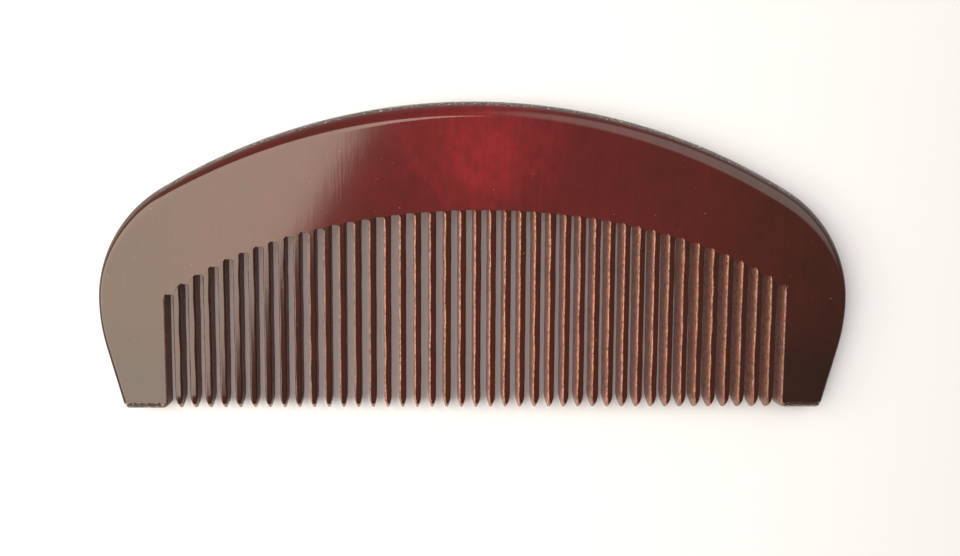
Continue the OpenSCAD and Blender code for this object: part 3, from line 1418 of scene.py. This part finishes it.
        shell.grid(rows, finish, faceted=lambda row, step: row in foot)
        shell.level([row[0][0] for row in rows], self.board.upper_normal, Finish.LACQUERED)
        shell.level([row[-1][0] for row in rows], (0.0, 0.0, -1.0), Finish.LACQUERED)
        edge = [place for place, look in rows[0]] + [place for place, look in reversed(rows[-1])]
        shell.level(edge, (0.0, 1.0, 0.0), Finish.SAWN)
        return shell.make(materials, name)


# ---------------------------------------------------------------------------------------------
# The studio


@dataclass(frozen=True)
class Studio:
    """Floor, lamps, surroundings and camera.

    Attributes:
        eye: place of the camera.
        tilt: its turns about X, Y and Z, in degrees.
        lens: its focal length.
        sensor: width of its sensor.
        nearest: nearest distance that it sees, in metres.
        floor_size: side of the floor.
        floor_colour: its colour.
        floor_roughness: its roughness.
        window_light: radiance of the window.
        window_colour: its colour.
        window_high: its height over the comb, whose film reflects it.
        window_turn: how far it is turned, in degrees.
        window_end: X and Y of its corner nearest to the spine's right half.
        window_size: its width and length.
        fill_place: place of the soft lamp that lights the walls of the gaps.
        fill_size: its width and height.
        fill_light: its radiance.
        fill_colour: its colour.
        room_light: brightness of the room overhead.
        low_light: brightness of the room at the level of the floor.
        room_high: height of a direction from which the room is as dim as overhead.
        room_colour: colour of the room.
        wall_way: direction of the pale wall.
        wall_edge: how nearly a direction has to agree with it to meet the wall's soft edge.
        wall_core: how nearly, to meet the wall at its full brightness.
        wall_light: that brightness.
    """

    eye: Place = (-3.80, 9.28, 183.06)
    tilt: Place = (-4.35, -1.436, 0.2)
    lens: float = 33.75
    sensor: float = 36.0
    nearest: float = 0.01
    floor_size: float = 4000.0
    floor_colour: str = "#bec6d2"
    floor_roughness: float = 0.6
    window_light: float = 5.8
    window_colour: str = "#fff1da"
    window_high: float = 600.0
    window_turn: float = 30.0
    window_end: Plan = (24.0, 240.0)
    window_size: Plan = (2000.0, 1500.0)
    fill_place: Place = (-520.0, -430.0, 420.0)
    fill_size: Plan = (320.0, 160.0)
    fill_light: float = 24.0
    fill_colour: str = "#ffdac8"
    room_light: float = 0.2
    low_light: float = 0.48
    room_high: float = 0.5
    room_colour: str = "#f6f0e8"
    wall_way: Place = (0.8, 0.75, 0.85)
    wall_edge: float = 0.8
    wall_core: float = 0.93
    wall_light: float = 2.0

    def camera(self) -> None:
        """Sets the camera nearly straight above the comb."""
        data = bpy.data.cameras.new("camera")
        data.lens = self.lens
        data.sensor_width = self.sensor
        data.clip_start = self.nearest
        camera = bpy.data.objects.new("camera", data)
        camera.location = [c * MM for c in self.eye]
        camera.rotation_euler = [math.radians(a) for a in self.tilt]
        bpy.context.collection.objects.link(camera)
        bpy.context.scene.camera = camera

    def floor(self) -> None:
        """Lays the pale floor."""
        half = self.floor_size / 2 * MM
        mesh = bpy.data.meshes.new("floor")
        corners = [(-half, -half, 0), (half, -half, 0), (half, half, 0), (-half, half, 0)]
        mesh.from_pydata(corners, [], [(0, 1, 2, 3)])
        floor = bpy.data.objects.new("floor", mesh)
        bpy.context.collection.objects.link(floor)
        material = blank("white_table")
        shader = add(material.node_tree, "BsdfPrincipled",
                     {"Base Color": linear(self.floor_colour), "Roughness": self.floor_roughness})
        add(material.node_tree, "OutputMaterial", {}, {"Surface": shader.outputs[0]})
        mesh.materials.append(material)

    def panel(self, name: str, place: Place, target: Place, size: Plan, radiance: float,
              colour: str, turn: float = 0.0) -> bpy.types.Object:
        """Hangs a soft panel lamp.

        Args:
            name: its name.
            place: its middle.
            target: what it faces.
            size: its width and height.
            radiance: how bright its face looks, against a white of 1.
            colour: its colour.
            turn: how far it is turned about its own axis, in degrees.

        Returns:
            The lamp.
        """
        data = bpy.data.lights.new(name, "AREA")
        data.shape = "RECTANGLE"
        data.size, data.size_y = (s * MM for s in size)
        data.energy = radiance * math.pi * data.size * data.size_y
        data.color = linear(colour)[:3]
        lamp = bpy.data.objects.new(name, data)
        lamp.location = [c * MM for c in place]
        aim = Vector(target) - Vector(place)
        lamp.rotation_euler = aim.to_track_quat("-Z", "Y").to_euler()
        if turn:
            lamp.rotation_euler.rotate_axis("Z", math.radians(turn))
        bpy.context.collection.objects.link(lamp)
        return lamp

    def surroundings(self) -> None:
        """A dim room with a pale wall on the right, behind the comb."""
        world = bpy.data.worlds.new("room")
        world.use_nodes = True
        tree = world.node_tree
        tree.nodes.clear()
        way = add(tree, "TexCoord").outputs["Generated"]
        toward = add(tree, "VectorMath", {1: unit(self.wall_way)}, {0: way},
                     operation="DOT_PRODUCT")
        wall_ends = dict(zip(ENDS, (self.wall_edge, self.wall_core, 0.0, self.wall_light)))
        wall = add(tree, "MapRange", wall_ends, {0: toward.outputs["Value"]},
                   interpolation_type="SMOOTHSTEP")
        high = add(tree, "SeparateXYZ", {}, {0: way}).outputs["Z"]
        room_ends = dict(zip(ENDS, (0.0, self.room_high, self.low_light, self.room_light)))
        room = add(tree, "MapRange", room_ends, {0: high}, interpolation_type="SMOOTHSTEP")
        light = add(tree, "Math", {}, {0: wall.outputs[0], 1: room.outputs[0]}, operation="ADD")
        sky = add(tree, "Background", {"Color": linear(self.room_colour)},
                  {"Strength": light.outputs[0]})
        add(tree, "OutputWorld", {}, {"Surface": sky.outputs[0]})
        bpy.context.scene.world = world

    def build(self) -> None:
        """Sets up the whole studio."""
        self.camera()
        self.floor()
        turn = math.radians(self.window_turn)
        wide, long = self.window_size
        edge_x, edge_y = self.window_end
        middle = (
            edge_x - long / 2 * math.sin(turn) - wide / 2 * math.cos(turn),
            edge_y - long / 2 * math.cos(turn) + wide / 2 * math.sin(turn),
        )
        self.panel("window", (*middle, self.window_high), (*middle, 0), self.window_size,
                   self.window_light, self.window_colour, turn=-self.window_turn)
        fill = self.panel("fill", self.fill_place, (0, 0, 0), self.fill_size, self.fill_light,
                          self.fill_colour)
        fill.visible_glossy = False
        fill.data.use_shadow = False
        self.surroundings()
        view = bpy.context.scene.view_settings
        view.view_transform = "Standard"
        view.look = "None"


def main() -> None:
    """Builds the comb and its studio."""
    logging.basicConfig(level=logging.INFO, format="%(name)s: %(message)s")
    low, high = CAD_BOX
    board = Board(length=(high[0] - low[0]) / MM, height=(high[1] - low[1]) / MM)
    teeth = sum(name.startswith("tooth_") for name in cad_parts)
    cuts = Cuts(board=board, teeth=teeth)
    # A darker copy of the lacquered wood for the fine teeth, without the painted pool of light.
    darker_lacquer = LacqueredWood(name="dark_lacquered_wood", middle_level=0.2, end_level=0.14,
                           low_level=1.0, painted_glow=0.0)
    # Painted shade: a darker copy of the sawn wood for walls that face away from the window.
    shaded = SawnWood(name="painted_shade_sawn_wood", pale="#5c403a", deep="#402824", sheen=0.4,
                      sheen_roughness=0.5)
    finishes = (LacqueredWood(), SawnWood(), EndGrain(), darker_lacquer, shaded)
    materials = [finish.build() for finish in finishes]
    Back(board, cuts).build(materials)
    for side in Side:
        EndTooth(board, cuts, side).build(materials)
    for number in range(1, teeth + 1):
        FineTooth(cuts, number).build(materials)
    Studio().build()


if __name__ == "__main__":
    main()
